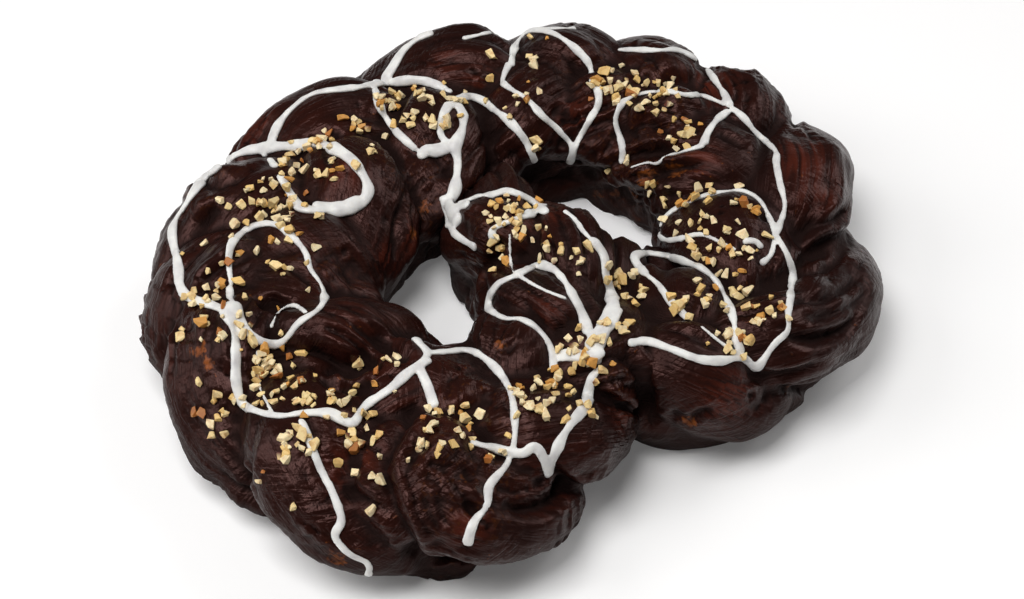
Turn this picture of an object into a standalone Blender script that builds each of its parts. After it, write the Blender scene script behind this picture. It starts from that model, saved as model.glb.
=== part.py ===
"""A pretzel-shaped kringle: a plaited rope of sweet dough under dark chocolate, with icing and chopped nuts.

The frame is +Z up with the origin under the middle of the kringle, on the face it rests on.
+Y runs from the cleft between the two lobes to the far side of the ring.
"""

import math
import random

import bmesh
import bpy
import numpy as np
from mathutils import Vector, noise
from mathutils.bvhtree import BVHTree

MM = 0.001
SEED = 7

# The rope's centre line, from the end that lies over the middle, round the ring, to the tucked-in end.
# Each station: x, y, half width, height (millimetres) and how many plait turns have gone by.
ROPE_STATIONS = (
    (8, 58, 20, 48, -0.08),
    (11, 27, 26, 61, 0.14),
    (13, -5, 32, 66, 0.36),
    (11, -43, 37, 66, 0.58),
    (-11, -58, 42, 62, 0.84),
    (-62, -70, 56, 60, 1.31),
    (-91, -40, 57, 60, 1.70),
    (-105, 8, 50, 60, 2.00),
    (-92, 55, 50, 60, 2.55),
    (-50, 91, 51, 60, 2.90),
    (2, 108, 50, 60, 3.21),
    (55, 106, 43, 60, 3.53),
    (100, 79, 43, 60, 3.97),
    (124, 29, 46, 60, 4.50),
    (114, -30, 47, 60, 4.83),
    (76, -64, 42, 60, 5.03),
    (40, -62, 35, 58, 5.46),
    (45, -36, 28, 52, 5.60),
    (57, 2, 19, 46, 5.80),
)
MIDDLE = (7.5, 15.7)  # the middle of the footprint, in the stations' own millimetres

STRANDS = 3
STRAND_WIDTH = 0.55  # a strand's half width, as a share of the rope's half width
STRAND_HEIGHT = 0.34  # its half height, as a share of the rope's height
STRAND_SIDES = 20
STRAND_STEPS = 320
# The solid dome that the strands sink into, in the same shares.
CORE_WIDTH = 0.86
CORE_HEIGHT = 0.40
CORE_LEVEL = 0.20
CORE_INWARD = 0.10  # how far its middle is moved toward the inside of the ring
EDGE_SWELL = 0.12  # a strand is this much fatter at the rope's edge than under a crossing
STRAND_END = 0.03  # the share of the rope's length over which a strand narrows at each end
CORE_END = 0.04
TIP = 0.03  # how wide the very end is left, as a share of the full width

VOXEL = 2.5 * MM
BODY_TRIANGLES = 3600
LUMPS = ((34 * MM, 2.2 * MM), (17 * MM, 1.1 * MM))  # wavelength and height of the dough's unevenness
CRAG_WAVE = 20 * MM
CRAG_DEPTH = 3.5 * MM
CRAG_RIDGES = 3  # how high its ridges stand, in depths
CRAG_FADE = 1.5  # its edge, in radii
# Torn and cut places where the crust is craggy: x, y and radius in the stations' millimetres.
CRAGS = (
    (-12, 66, 18),
    (98, 62, 20),
    (84, 88, 14),
    (157, 72, 16),
    (-106, 92, 14),
    (-72, -104, 26),
    (-44, -72, 16),
    (-14, 10, 14),
)

# Icing strokes and nuts are drawn on a level sheet, and thrown on the crust along lines from one far point.
# The sheet's height, and the point in the stations' millimetres.
SHEET = 35
SHEET_STEP = 3
THROWN_FROM = (-259, -556, 683)
ICING_RADIUS = 2.4 * MM
ICING_TIP = 0.5  # a stroke's end, as a share of its radius
ICING_STEP = 12 * MM
ICING_SIDES = 5
ICING_LEAP = 14 * MM  # landing points farther apart than this aren't joined
ICING_LEAST = 4  # the fewest landing points that make a thread
# Each stroke: x, y of the points it runs through, in the stations' millimetres.
ICING = (
    ((-100, 117), (-122, 93), (-130, 58), (-119, 38), (-127, -3), (-116, -28), (-92, -44), (-70, -33), (-50, -25)),
    ((-90, 122), (-65, 125), (-40, 114), (-34, 80), (-50, 73), (-66, 82), (-67, 105), (-68, 124)),
    ((-63, 127), (-45, 146), (-15, 147), (15, 140), (26, 125), (38, 112), (44, 82), (40, 60)),
    ((-5, 143), (-8, 115), (-4, 95)),
    ((1, 143), (17, 158), (34, 163)),
    ((-112, 30), (-110, 54), (-95, 78), (-78, 73), (-75, 40), (-90, 18), (-106, 11), (-113, 30)),
    ((-5, 90), (10, 92), (22, 118), (25, 104), (10, 80), (-5, 57)),
    ((60, 132), (52, 118), (62, 76), (57, 57), (75, 78), (92, 104), (93, 132), (75, 148), (60, 132)),
    ((48, 158), (72, 154), (100, 142), (112, 119), (138, 106), (144, 82), (141, 60)),
    ((77, 47), (88, 75), (103, 86), (125, 77), (140, 62)),
    ((80, 43), (98, 43), (117, 42), (139, 58)),
    ((141, 60), (145, 25), (131, -8), (118, -22), (105, -57), (94, -74), (71, -87), (52, -72), (30, -52)),
    ((103, -35), (118, -22), (122, 0), (110, 11), (88, 11), (72, 0), (80, -7), (97, -23)),
    ((55, -20), (60, -8), (73, -18), (79, -48), (70, -77)),
    ((-5, 62), (-10, 40), (0, 27), (5, 33), (20, 36), (33, 36), (30, 48), (17, 53), (-2, 54)),
    ((-5, -52), (-2, -28), (-15, -10), (-4, 3), (15, 5), (21, -10), (17, -40)),
    ((42, 25), (43, -2), (34, -33), (18, -45), (13, -60), (-2, -75), (-31, -101), (-29, -86), (-52, -73)),
    ((-48, -22), (-28, -35), (-27, -58), (-45, -90), (-60, -105), (-74, -118)),
    ((-52, -7), (-49, -22), (-58, -50)),
    ((-110, -33), (-112, -75), (-117, -103), (-114, -115)),
)
NUT_SIZE = (2.3 * MM, 1.8 * MM, 1.5 * MM)
NUT_CORNERS = 9
NUT_SCALE = (0.8, 1.35)
NUT_LIFT = 0.4  # how far a nut's middle stands off the crust, as a share of its least half size
NUT_GAP = 7 * MM
NUT_LEAST = 2  # the fewest in one place
NUT_SHARE = 0.20  # of the scattered nuts, those large enough to model here
# Where nuts lie: x, y and radius in the stations' millimetres, and how many.
NUTS = (
    (-122, 48, 10, 14),
    (-80, 92, 18, 30),
    (-50, 110, 18, 20),
    (-18, 115, 16, 10),
    (-3, 131, 8, 10),
    (15, 118, 18, 28),
    (72, 142, 20, 16),
    (98, 98, 13, 18),
    (115, 82, 14, 22),
    (110, 55, 10, 14),
    (85, 20, 10, 7),
    (100, 2, 22, 32),
    (18, 37, 15, 32),
    (25, 8, 14, 12),
    (45, -22, 12, 16),
    (75, -50, 20, 24),
    (68, -70, 9, 12),
    (92, -62, 9, 10),
    (10, -57, 9, 12),
    (-8, -57, 10, 12),
    (-20, -62, 10, 18),
    (-56, -62, 13, 22),
    (-105, 5, 11, 16),
    (-118, -12, 14, 24),
    (-100, -27, 12, 20),
    (-120, -42, 8, 6),
    (-90, -45, 9, 8),
)


def smooth_rows(rows, count):
    """Catmull-Rom interpolation: every column of rows follows one smooth curve through its own values."""
    rows = np.asarray(rows, float)
    padded = np.vstack([2 * rows[0] - rows[1], rows, 2 * rows[-1] - rows[-2]])
    at = np.linspace(0, len(rows) - 1, count)
    cell = np.minimum(at.astype(int), len(rows) - 2)
    t = (at - cell)[:, None]
    before, start, end, after = (padded[cell + k] for k in range(4))
    return 0.5 * (
        2 * start
        + (end - before) * t
        + (2 * before - 5 * start + 4 * end - after) * t**2
        + (3 * start - before - 3 * end + after) * t**3
    )


def even_rows(rows, step):
    """The same curve, sampled every step along its length."""
    fine = smooth_rows(rows, 40 * len(rows))
    length = np.concatenate([[0], np.cumsum(np.linalg.norm(np.diff(fine, axis=0), axis=1))])
    at = np.linspace(0, length[-1], max(3, round(length[-1] / step) + 1))
    return np.column_stack([np.interp(at, length, column) for column in fine.T])


def unit(vectors):
    return vectors / np.linalg.norm(vectors, axis=-1, keepdims=True)


def placed(x, y, z):
    """A point given in the stations' millimetres, in metres from the kringle's middle."""
    return Vector(((x - MIDDLE[0]) * MM, (y - MIDDLE[1]) * MM, z * MM))


def rope_samples():
    """Centre, sideways direction, half width, height and plait turns at even steps along the rope, in metres."""
    x, y, half_width, height, turns = smooth_rows(ROPE_STATIONS, STRAND_STEPS).T
    centre = np.column_stack([x - MIDDLE[0], y - MIDDLE[1], 0 * x]) * MM
    along = unit(np.gradient(centre, axis=0))
    sideways = np.column_stack([-along[:, 1], along[:, 0], 0 * x])
    return centre, sideways, half_width * MM, height * MM, turns


def tube(centre, half_width, half_height, sides):
    """A closed tube of elliptic section along centre, level across."""
    along = unit(np.gradient(centre, axis=0))
    across = unit(np.cross([0, 0, 1], along))
    up = np.cross(along, across)
    angle = np.linspace(0, 2 * math.pi, sides, endpoint=False) + math.pi / 2
    ring = (
        centre[:, None]
        + across[:, None] * (half_width[:, None] * np.cos(angle))[..., None]
        + up[:, None] * (half_height[:, None] * np.sin(angle))[..., None]
    )
    steps = len(centre)
    index = np.arange(steps * sides).reshape(steps, sides)
    turned = np.roll(index, -1, axis=1)
    walls = np.stack([index[:-1], turned[:-1], turned[1:], index[1:]], axis=-1).reshape(-1, 4)
    faces = walls.tolist() + [index[0, ::-1].tolist(), index[-1].tolist()]
    return ring.reshape(-1, 3), faces


def end_taper(count, share):
    """1 along the rope, falling on a quarter ellipse to almost nothing over that share of it at each end."""
    t = np.linspace(0, 1, count)
    to_end = np.clip(np.minimum(t, 1 - t) / share, 0, 1)
    return TIP + (1 - TIP) * np.sqrt(1 - (1 - to_end) ** 2)


def strand_path(number):
    """A plait: each strand swings sideways once a turn and rises and dips twice, a third of a turn after the last."""
    centre, sideways, half_width, height, turns = rope_samples()
    phase = 2 * math.pi * (turns + number / STRANDS)
    swing = half_width * (1 - STRAND_WIDTH) * np.sin(phase)
    rise = height * (0.5 - (0.5 - STRAND_HEIGHT) * np.sin(2 * phase))
    path = centre + sideways * swing[:, None]
    path[:, 2] = rise
    taper = end_taper(len(path), STRAND_END)
    swell = (1 - EDGE_SWELL / 2) + EDGE_SWELL * np.abs(np.sin(phase))
    return path, half_width * STRAND_WIDTH * swell * taper, height * STRAND_HEIGHT * taper


def mesh_object(name, points, faces):
    mesh = bpy.data.meshes.new(name)
    mesh.from_pydata([tuple(p) for p in points], [], faces)
    mesh.validate()
    obj = bpy.data.objects.new(name, mesh)
    bpy.context.scene.collection.objects.link(obj)
    return obj


def joined(parts):
    points, faces, start = [], [], 0
    for part_points, part_faces in parts:
        points.append(part_points)
        faces.extend([[i + start for i in face] for face in part_faces])
        start += len(part_points)
    return np.concatenate(points), faces


def applied(obj):
    """obj's mesh as its modifiers leave it, with the modifiers then removed."""
    graph = bpy.context.evaluated_depsgraph_get()
    mesh = bpy.data.meshes.new_from_object(obj.evaluated_get(graph))
    obj.modifiers.clear()
    obj.data = mesh
    return obj


def mesh_points(mesh):
    points = np.empty(len(mesh.vertices) * 3)
    mesh.vertices.foreach_get("co", points)
    return points.reshape(-1, 3)


def roughened(points, normals):
    """Points moved along their normals: gentle lumps all over, and crags where the crust is torn or cut."""
    moved = points.copy()
    for i, (point, normal) in enumerate(zip(points, normals)):
        place = Vector(point)
        push = sum(height * noise.noise(place / wave) for wave, height in LUMPS)
        for x, y, radius in CRAGS:
            nearness = 1 - (place.xy - placed(x, y, 0).xy).length / (radius * CRAG_FADE * MM)
            if nearness > 0:
                crag = abs(noise.noise(place / CRAG_WAVE))
                push -= CRAG_DEPTH * min(1, 2 * nearness) * (1 - CRAG_RIDGES * crag)
        moved[i] += normal * push
    return moved


def cut_level(obj):
    """obj without what reaches below the baking tray, so that its underside is flat."""
    low, high = Vector((-0.5, -0.5, -0.5)), Vector((0.5, 0.5, 0))
    block = bmesh.new()
    bmesh.ops.create_cube(block, size=1)
    for vertex in block.verts:
        vertex.co = [a if c < 0 else b for c, a, b in zip(vertex.co, low, high)]
    mesh = bpy.data.meshes.new("tray")
    block.to_mesh(mesh)
    block.free()
    tray = bpy.data.objects.new("tray", mesh)
    bpy.context.scene.collection.objects.link(tray)
    cut = obj.modifiers.new("flat underside", "BOOLEAN")
    cut.operation = "DIFFERENCE"
    cut.object = tray
    cut.solver = "MANIFOLD"
    bpy.context.view_layer.update()
    applied(obj)
    bpy.data.objects.remove(tray)


def bread():
    """The plait: its strands and core made one skin, roughened, thinned out and cut flat underneath."""
    centre, sideways, half_width, height, _ = rope_samples()
    taper = end_taper(len(centre), CORE_END)
    core_path = centre - sideways * (half_width * CORE_INWARD)[:, None]
    core_path[:, 2] = height * CORE_LEVEL
    parts = [tube(core_path, half_width * CORE_WIDTH * taper, height * CORE_HEIGHT * taper, STRAND_SIDES)]
    parts += [tube(*strand_path(number), STRAND_SIDES) for number in range(STRANDS)]
    obj = mesh_object("kringle", *joined(parts))
    remesh = obj.modifiers.new("one skin", "REMESH")
    remesh.mode = "VOXEL"
    remesh.voxel_size = VOXEL
    applied(obj)
    points = mesh_points(obj.data)
    normals = np.array([vertex.normal for vertex in obj.data.vertices])
    obj.data.vertices.foreach_set("co", roughened(points, normals).ravel())
    thin = obj.modifiers.new("fewer triangles", "DECIMATE")
    thin.ratio = BODY_TRIANGLES / (2 * len(obj.data.polygons))
    applied(obj)
    cut_level(obj)
    return obj


def thrown_on(tree, x, y):
    """Where a point of the sheet lands on the crust, with the crust's normal there; None where it misses."""
    start = placed(*THROWN_FROM)
    place, normal, _, _ = tree.ray_cast(start, (placed(x, y, SHEET) - start).normalized())
    return place, normal


def landed_runs(tree, stroke):
    """The stroke's points where they land on the crust, parted wherever they leap over a gap."""
    runs = [[]]
    for x, y in even_rows(stroke, SHEET_STEP):
        place = thrown_on(tree, x, y)[0]
        if place is None:
            continue
        if runs[-1] and (place - runs[-1][-1]).length > ICING_LEAP:
            runs.append([])
        runs[-1].append(place)
    return [run for run in runs if len(run) >= ICING_LEAST]


def icing_strokes(tree):
    """Round threads of icing, half sunk in the crust."""
    strokes = []
    for stroke in ICING:
        for run in landed_runs(tree, stroke):
            path = even_rows(np.array(run), ICING_STEP)
            radius = np.full(len(path), ICING_RADIUS)
            radius[[0, -1]] *= ICING_TIP
            strokes.append(mesh_object("icing", *tube(path, radius, radius, ICING_SIDES)))
    return strokes


def nut(place, normal, draw):
    """A chopped piece of nut: the convex hull of a few points on a small ellipsoid, turned at random."""
    size = draw.uniform(*NUT_SCALE)
    chunk = bmesh.new()
    for _ in range(NUT_CORNERS):
        corner = Vector((draw.gauss(0, 1), draw.gauss(0, 1), draw.gauss(0, 1))).normalized()
        chunk.verts.new(Vector(c * s * size for c, s in zip(corner, NUT_SIZE)))
    bmesh.ops.convex_hull(chunk, input=chunk.verts[:])
    bmesh.ops.delete(chunk, geom=[vertex for vertex in chunk.verts if not vertex.link_faces], context="VERTS")
    mesh = bpy.data.meshes.new("nut")
    chunk.to_mesh(mesh)
    chunk.free()
    obj = bpy.data.objects.new("nut", mesh)
    bpy.context.scene.collection.objects.link(obj)
    spin = Vector((draw.gauss(0, 1), draw.gauss(0, 1), draw.gauss(0, 1))).to_track_quat("Z", "Y")
    obj.rotation_mode = "QUATERNION"
    obj.rotation_quaternion = spin
    obj.location = place + normal * NUT_SIZE[2] * NUT_LIFT
    return obj


def scattered_nuts(tree):
    draw = random.Random(SEED)
    nuts = []
    for x, y, radius, count in NUTS:
        for _ in range(max(NUT_LEAST, round(count * NUT_SHARE))):
            angle = draw.uniform(0, 2 * math.pi)
            away = radius * math.sqrt(draw.random())
            place, normal = thrown_on(tree, x + away * math.cos(angle), y + away * math.sin(angle))
            if place is not None and all((place - other.location).length > NUT_GAP for other in nuts):
                nuts.append(nut(place, normal, draw))
    return nuts


def fused(body, toppings):
    """One skin for the bread and all that lies on it; whatever the union leaves apart from it is dropped."""
    group = bpy.data.collections.new("toppings")
    bpy.context.scene.collection.children.link(group)
    for topping in toppings:
        group.objects.link(topping)
    union = body.modifiers.new("toppings", "BOOLEAN")
    union.operation = "UNION"
    union.operand_type = "COLLECTION"
    union.collection = group
    union.solver = "MANIFOLD"
    bpy.context.view_layer.update()
    applied(body)
    for topping in toppings:
        bpy.data.objects.remove(topping)
    bpy.data.collections.remove(group)
    keep_largest_shell(body.data)


def keep_largest_shell(mesh):
    """Drops loose scraps and fills sealed hollows: both are shells of their own."""
    shape = bmesh.new()
    shape.from_mesh(mesh)
    unseen = set(shape.verts)
    shells = []
    while unseen:
        shell = {unseen.pop()}
        edge_of_search = list(shell)
        while edge_of_search:
            vertex = edge_of_search.pop()
            for edge in vertex.link_edges:
                other = edge.other_vert(vertex)
                if other in unseen:
                    unseen.discard(other)
                    shell.add(other)
                    edge_of_search.append(other)
        shells.append(shell)
    shells.sort(key=len)
    for shell in shells[:-1]:
        bmesh.ops.delete(shape, geom=list(shell), context="VERTS")
    shape.to_mesh(mesh)
    shape.free()


def chocolate():
    """Dark chocolate glaze, near black in the shade, with a satin sheen."""
    material = bpy.data.materials.new("dark_chocolate")
    material.use_nodes = True
    shader = material.node_tree.nodes["Principled BSDF"]
    shader.inputs["Base Color"].default_value = (0.034, 0.018, 0.014, 1)
    shader.inputs["Roughness"].default_value = 0.42
    shader.inputs["Metallic"].default_value = 0
    return material


def centred(mesh):
    """Moves the mesh so that the middle of its underside's box is the origin."""
    points = mesh_points(mesh)
    low, high = points.min(axis=0), points.max(axis=0)
    points -= [(low[0] + high[0]) / 2, (low[1] + high[1]) / 2, low[2]]
    mesh.vertices.foreach_set("co", points.ravel())


def clear_scene():
    for obj in list(bpy.data.objects):
        bpy.data.objects.remove(obj)


def main():
    clear_scene()
    body = bread()
    tree = BVHTree.FromObject(body, bpy.context.evaluated_depsgraph_get())
    fused(body, icing_strokes(tree) + scattered_nuts(tree))
    centred(body.data)
    body.data.materials.append(chocolate())


main()
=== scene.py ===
# %% [markdown]
# # A pretzel-shaped kringle under dark chocolate
# A rope of sweet dough is plaited from three strands, bent into a pretzel, baked, coated with dark
# chocolate, drizzled with white icing and scattered with chopped nuts. This file dresses the plain solid of
# that kringle. The solid comes first, because everything below has to stay where it is and inside its box.

# %% Load the frame
import math

import bmesh
import bpy
import numpy as np
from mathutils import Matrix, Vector
from mathutils.bvhtree import BVHTree


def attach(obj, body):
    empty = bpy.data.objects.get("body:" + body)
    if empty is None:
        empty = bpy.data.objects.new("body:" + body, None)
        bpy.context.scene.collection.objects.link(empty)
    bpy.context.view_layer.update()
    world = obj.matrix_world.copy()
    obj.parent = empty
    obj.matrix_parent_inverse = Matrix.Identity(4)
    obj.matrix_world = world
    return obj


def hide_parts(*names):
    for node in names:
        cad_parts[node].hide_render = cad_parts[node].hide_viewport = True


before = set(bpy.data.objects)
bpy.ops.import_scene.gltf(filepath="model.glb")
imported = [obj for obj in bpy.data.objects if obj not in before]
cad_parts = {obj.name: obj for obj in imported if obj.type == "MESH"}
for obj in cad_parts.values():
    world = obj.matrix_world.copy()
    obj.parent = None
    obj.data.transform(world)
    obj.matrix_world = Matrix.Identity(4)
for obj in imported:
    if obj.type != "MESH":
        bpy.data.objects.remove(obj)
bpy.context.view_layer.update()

MM = 0.001

# %% [markdown]
# ## Where things are
# Places are given in millimetres on the baker's table, with x to the right and y away from the eater.
# The solid's origin is the middle of its footprint, so each place is shifted by that middle once, here.

# %% Places on the table
MIDDLE = (7.4, 15.6)


def placed(x, y, z):
    """A place on the table in millimetres, as metres from the kringle's middle."""
    return np.array([x - MIDDLE[0], y - MIDDLE[1], z]) * MM


def unit(vectors):
    """Each vector divided by its own length."""
    return vectors / np.linalg.norm(vectors, axis=-1, keepdims=True)


print("the table's zero is at", placed(0, 0, 0))

# %% [markdown]
# ## The eye
# The kringle is seen from half above and a little from the left. The camera is described by the angle round
# the kringle, the angle above the table and the distance, because those are easy to think in. A long lens
# keeps the far side of the ring nearly as large as the near side.

# %% Set up the camera
VIEW_AZIMUTH = -25  # degrees
VIEW_ELEVATION = 47
VIEW_DISTANCE = 0.9
VIEW_TARGET = placed(0, 0, 25)
PIXELS_PER_METRE = 2300  # at the target
IMAGE_WIDTH = 1024


def direction(azimuth, elevation):
    """(sin a cos e, -cos a cos e, sin e), for an azimuth counted from the eater's side, in degrees."""
    a, e = math.radians(azimuth), math.radians(elevation)
    return np.array([math.sin(a) * math.cos(e), -math.cos(a) * math.cos(e), math.sin(e)])


def facing_back(name, data, place, outward):
    """A camera or lamp at its place, turned to look against the outward direction."""
    item = bpy.data.objects.new(name, data)
    item.location = place
    item.rotation_euler = Vector(outward).to_track_quat("Z", "Y").to_euler()
    bpy.context.scene.collection.objects.link(item)
    return item


toward_camera = direction(VIEW_AZIMUTH, VIEW_ELEVATION)
EYE = VIEW_TARGET + toward_camera * VIEW_DISTANCE
camera = facing_back("camera", bpy.data.cameras.new("camera"), EYE, toward_camera)
camera.data.lens = PIXELS_PER_METRE * VIEW_DISTANCE * camera.data.sensor_width / IMAGE_WIDTH
bpy.context.scene.camera = camera
print("camera at", EYE, "with a lens of", round(camera.data.lens, 1), "mm")

# %% [markdown]
# ## The rope of dough
# The pretzel is one rope. Its middle line is known from nineteen stations, each with the rope's half width,
# its height, and how many turns of the plait have gone by. A Catmull-Rom curve through the stations gives
# every value in between, so the rope swells and shrinks as smoothly as dough does.

# %% The rope's stations
# x, y, half width, height (millimetres), plait turns
ROPE_STATIONS = (
    (8, 58, 20, 48, -0.08),
    (11, 27, 26, 61, 0.14),
    (13, -5, 32, 66, 0.36),
    (11, -43, 37, 66, 0.58),
    (-11, -58, 42, 62, 0.84),
    (-62, -70, 56, 60, 1.31),
    (-91, -40, 57, 60, 1.70),
    (-105, 8, 50, 60, 2.00),
    (-92, 55, 50, 60, 2.55),
    (-50, 91, 51, 60, 2.90),
    (2, 108, 50, 60, 3.21),
    (55, 106, 43, 60, 3.53),
    (100, 79, 43, 60, 3.97),
    (124, 29, 46, 60, 4.50),
    (114, -30, 47, 60, 4.83),
    (76, -64, 42, 60, 5.03),
    (40, -62, 35, 58, 5.46),
    (45, -36, 28, 52, 5.60),
    (57, 2, 19, 46, 5.80),
)
ROPE_STEPS = 420


def smooth_rows(rows, count):
    """Catmull-Rom: between two rows, a cubic in t through both, whose slope at each row is half the step
    from the row before it to the row after it."""
    rows = np.asarray(rows, float)
    padded = np.vstack([2 * rows[0] - rows[1], rows, 2 * rows[-1] - rows[-2]])
    at = np.linspace(0, len(rows) - 1, count)
    cell = np.minimum(at.astype(int), len(rows) - 2)
    t = (at - cell)[:, None]
    before, start, end, after = (padded[cell + k] for k in range(4))
    return 0.5 * (
        2 * start
        + (end - before) * t
        + (2 * before - 5 * start + 4 * end - after) * t**2
        + (3 * start - before - 3 * end + after) * t**3
    )


def path_lengths(path):
    """The distance gone by at each point of a path: the running sum of its steps."""
    return np.concatenate([[0], np.cumsum(np.linalg.norm(np.diff(path, axis=0), axis=1))])


x, y, half_width, height, turns = smooth_rows(ROPE_STATIONS, ROPE_STEPS).T
rope_half_width = half_width * MM
rope_height = height * MM
rope_line = np.column_stack([x - MIDDLE[0], y - MIDDLE[1], 0 * x]) * MM
rope_along = unit(np.gradient(rope_line, axis=0))
rope_left = np.column_stack([-rope_along[:, 1], rope_along[:, 0], 0 * x])
print("the rope is", round(path_lengths(rope_line)[-1], 3), "m long")

# %% [markdown]
# ## Three plaited strands
# In a plait each strand swings from edge to edge once a turn, and goes over and under twice. So its
# sideways place is a sine of the turns and its height a sine of twice that, each strand a third of a turn
# behind the last. A strand is an ellipse carried along that path. A low dome under them stands for the
# dough that has risen into one loaf.

# %% The strands and the dome
STRANDS = 3
STRAND_WIDTH = 0.55  # half width, as a share of the rope's half width
STRAND_HEIGHT = 0.34  # half height, as a share of the rope's height
STRAND_SIDES = 32
EDGE_SWELL = 0.12  # how much fatter a strand is at the rope's edge than under a crossing
DOME_WIDTH = 0.86
DOME_HEIGHT = 0.40
DOME_LEVEL = 0.20
DOME_INWARD = 0.10  # how far the dome spreads toward the inside of the ring
STRAND_TAPER = 0.06  # share of the steps over which the two ends close
DOME_TAPER = 0.08


def end_taper(count, blunt):
    """1 along a tube, falling on a quarter ellipse to almost nothing over half the blunt share of its steps
    at each end."""
    t = np.linspace(0, 1, count)
    to_end = np.clip(np.minimum(t, 1 - t) / (blunt / 2), 0, 1)
    return np.sqrt(1 - (1 - to_end) ** 2) * 0.97 + 0.03


def strand(number):
    """Path, half widths and half heights of one strand.

    Sideways: half width x (1 - share) x sin(phase).
    Height: rope height x (0.5 - (0.5 - share) x sin(2 phase))."""
    phase = 2 * math.pi * (turns + number / STRANDS)
    path = rope_line + rope_left * (rope_half_width * (1 - STRAND_WIDTH) * np.sin(phase))[:, None]
    path[:, 2] = rope_height * (0.5 - (0.5 - STRAND_HEIGHT) * np.sin(2 * phase))
    taper = end_taper(ROPE_STEPS, STRAND_TAPER)
    swell = (1 - EDGE_SWELL / 2) + EDGE_SWELL * np.abs(np.sin(phase))
    return path, rope_half_width * STRAND_WIDTH * swell * taper, rope_height * STRAND_HEIGHT * taper


def tube(path, across, up, half_width, half_height, sides):
    """Rings of points round a path: path + across x half width x cos(angle) + up x half height x
    sin(angle)."""
    angle = np.linspace(0, 2 * math.pi, sides, endpoint=False)
    return (
        path[:, None]
        + across[:, None] * (half_width[:, None] * np.cos(angle))[..., None]
        + up[:, None] * (half_height[:, None] * np.sin(angle))[..., None]
    )


def level_frame(path):
    """Across and up directions for a path: across is level, up is square to the path and to across."""
    along = unit(np.gradient(path, axis=0))
    across = unit(np.cross([0, 0, 1], along))
    return across, np.cross(along, across)


dome_taper = end_taper(ROPE_STEPS, DOME_TAPER)
dome_path = rope_line - rope_left * (rope_half_width * DOME_INWARD)[:, None]
dome_path[:, 2] = rope_height * DOME_LEVEL
strands = [strand(number) for number in range(STRANDS)]
rings = [
    tube(path, *level_frame(path), half_width, half_height, STRAND_SIDES)
    for path, half_width, half_height in strands
]
rings.append(tube(
    dome_path,
    *level_frame(dome_path),
    rope_half_width * DOME_WIDTH * dome_taper,
    rope_height * DOME_HEIGHT * dome_taper,
    STRAND_SIDES,
))
print(len(rings), "closed tubes of", ROPE_STEPS, "rings each")

# %% [markdown]
# ## One loaf
# In the oven the strands grow into each other, and the chocolate fills the corners between them. The tubes
# could be joined by Booleans, which leave sharp corners. A voxel remesh joins them in one step and rounds
# the corners, and a few rounds of smoothing make the fillets as soft as poured chocolate.

# %% Join the strands into one skin
LOAF_VOXEL = 1.3 * MM


def joined_tubes(tubes):
    """Points and faces of several closed tubes: each wall face joins two neighbours on one ring to the same
    two on the next ring, and each end ring is one cap."""
    points, faces, start = [], [], 0
    for grid in tubes:
        steps, sides = grid.shape[:2]
        index = start + np.arange(steps * sides).reshape(steps, sides)
        turned = np.roll(index, -1, axis=1)
        walls = np.stack([index[:-1], turned[:-1], turned[1:], index[1:]], axis=-1).reshape(-1, 4)
        faces += walls.tolist() + [index[0, ::-1].tolist(), index[-1].tolist()]
        points.append(grid.reshape(-1, 3))
        start += steps * sides
    return np.concatenate(points), faces


def piece_from(name, points, faces):
    """A new object whose mesh has these points and faces."""
    mesh = bpy.data.meshes.new(name)
    mesh.from_pydata(points.tolist(), [], faces)
    piece = bpy.data.objects.new(name, mesh)
    bpy.context.scene.collection.objects.link(piece)
    return piece


def worked(piece, *steps):
    """Puts modifiers on a piece, each as its kind and settings, and keeps the mesh that they leave."""
    for kind, settings in steps:
        modifier = piece.modifiers.new(kind.lower(), kind)
        for name, value in settings.items():
            setattr(modifier, name, value)
    bpy.context.view_layer.update()
    graph = bpy.context.evaluated_depsgraph_get()
    mesh = bpy.data.meshes.new_from_object(piece.evaluated_get(graph))
    piece.modifiers.clear()
    piece.data = mesh
    return piece


def read_points(mesh, what="co"):
    """The mesh's vertex places, or their normals, as one array."""
    values = np.empty(len(mesh.vertices) * 3)
    if what == "co":
        mesh.vertices.foreach_get("co", values)
    else:
        mesh.vertex_normals.foreach_get("vector", values)
    return values.reshape(-1, 3)


loaf = piece_from("kringle_loaf", *joined_tubes(rings))
worked(
    loaf,
    ("REMESH", {"mode": "VOXEL", "voxel_size": LOAF_VOXEL}),
    ("SMOOTH", {"factor": 0.5, "iterations": 12}),
)
print("the loaf's skin has", len(loaf.data.polygons), "faces")

# %% [markdown]
# ## Finding the way along a strand
# Dough is pulled lengthwise when it is rolled, so its wrinkles and the brush marks in the chocolate run
# along each strand. Every point of the skin therefore needs three facts: which strand it lies on, how far
# along, and how far round. The nearest ring of a strand is found by one matrix product: the squared
# distance, measured in the ring's own half widths, is a sum of products of the point's numbers and the
# ring's numbers.

# %% Distance along and round the nearest strand
AROUND = 22 * MM  # a strand's mean radius, which turns an angle into a length
BATCH = 20000  # points measured at once, so that the product fits into memory
all_paths = np.concatenate([path for path, _, _ in strands])
all_widths = np.concatenate([half_width for _, half_width, _ in strands])
all_heights = np.concatenate([half_height for _, _, half_height in strands])
all_lengths = np.concatenate([path_lengths(path) for path, _, _ in strands])
all_along = np.concatenate([unit(np.gradient(path, axis=0)) for path, _, _ in strands])
all_across, all_up = (
    np.concatenate(directions) for directions in zip(*(level_frame(path) for path, _, _ in strands))
)


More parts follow.
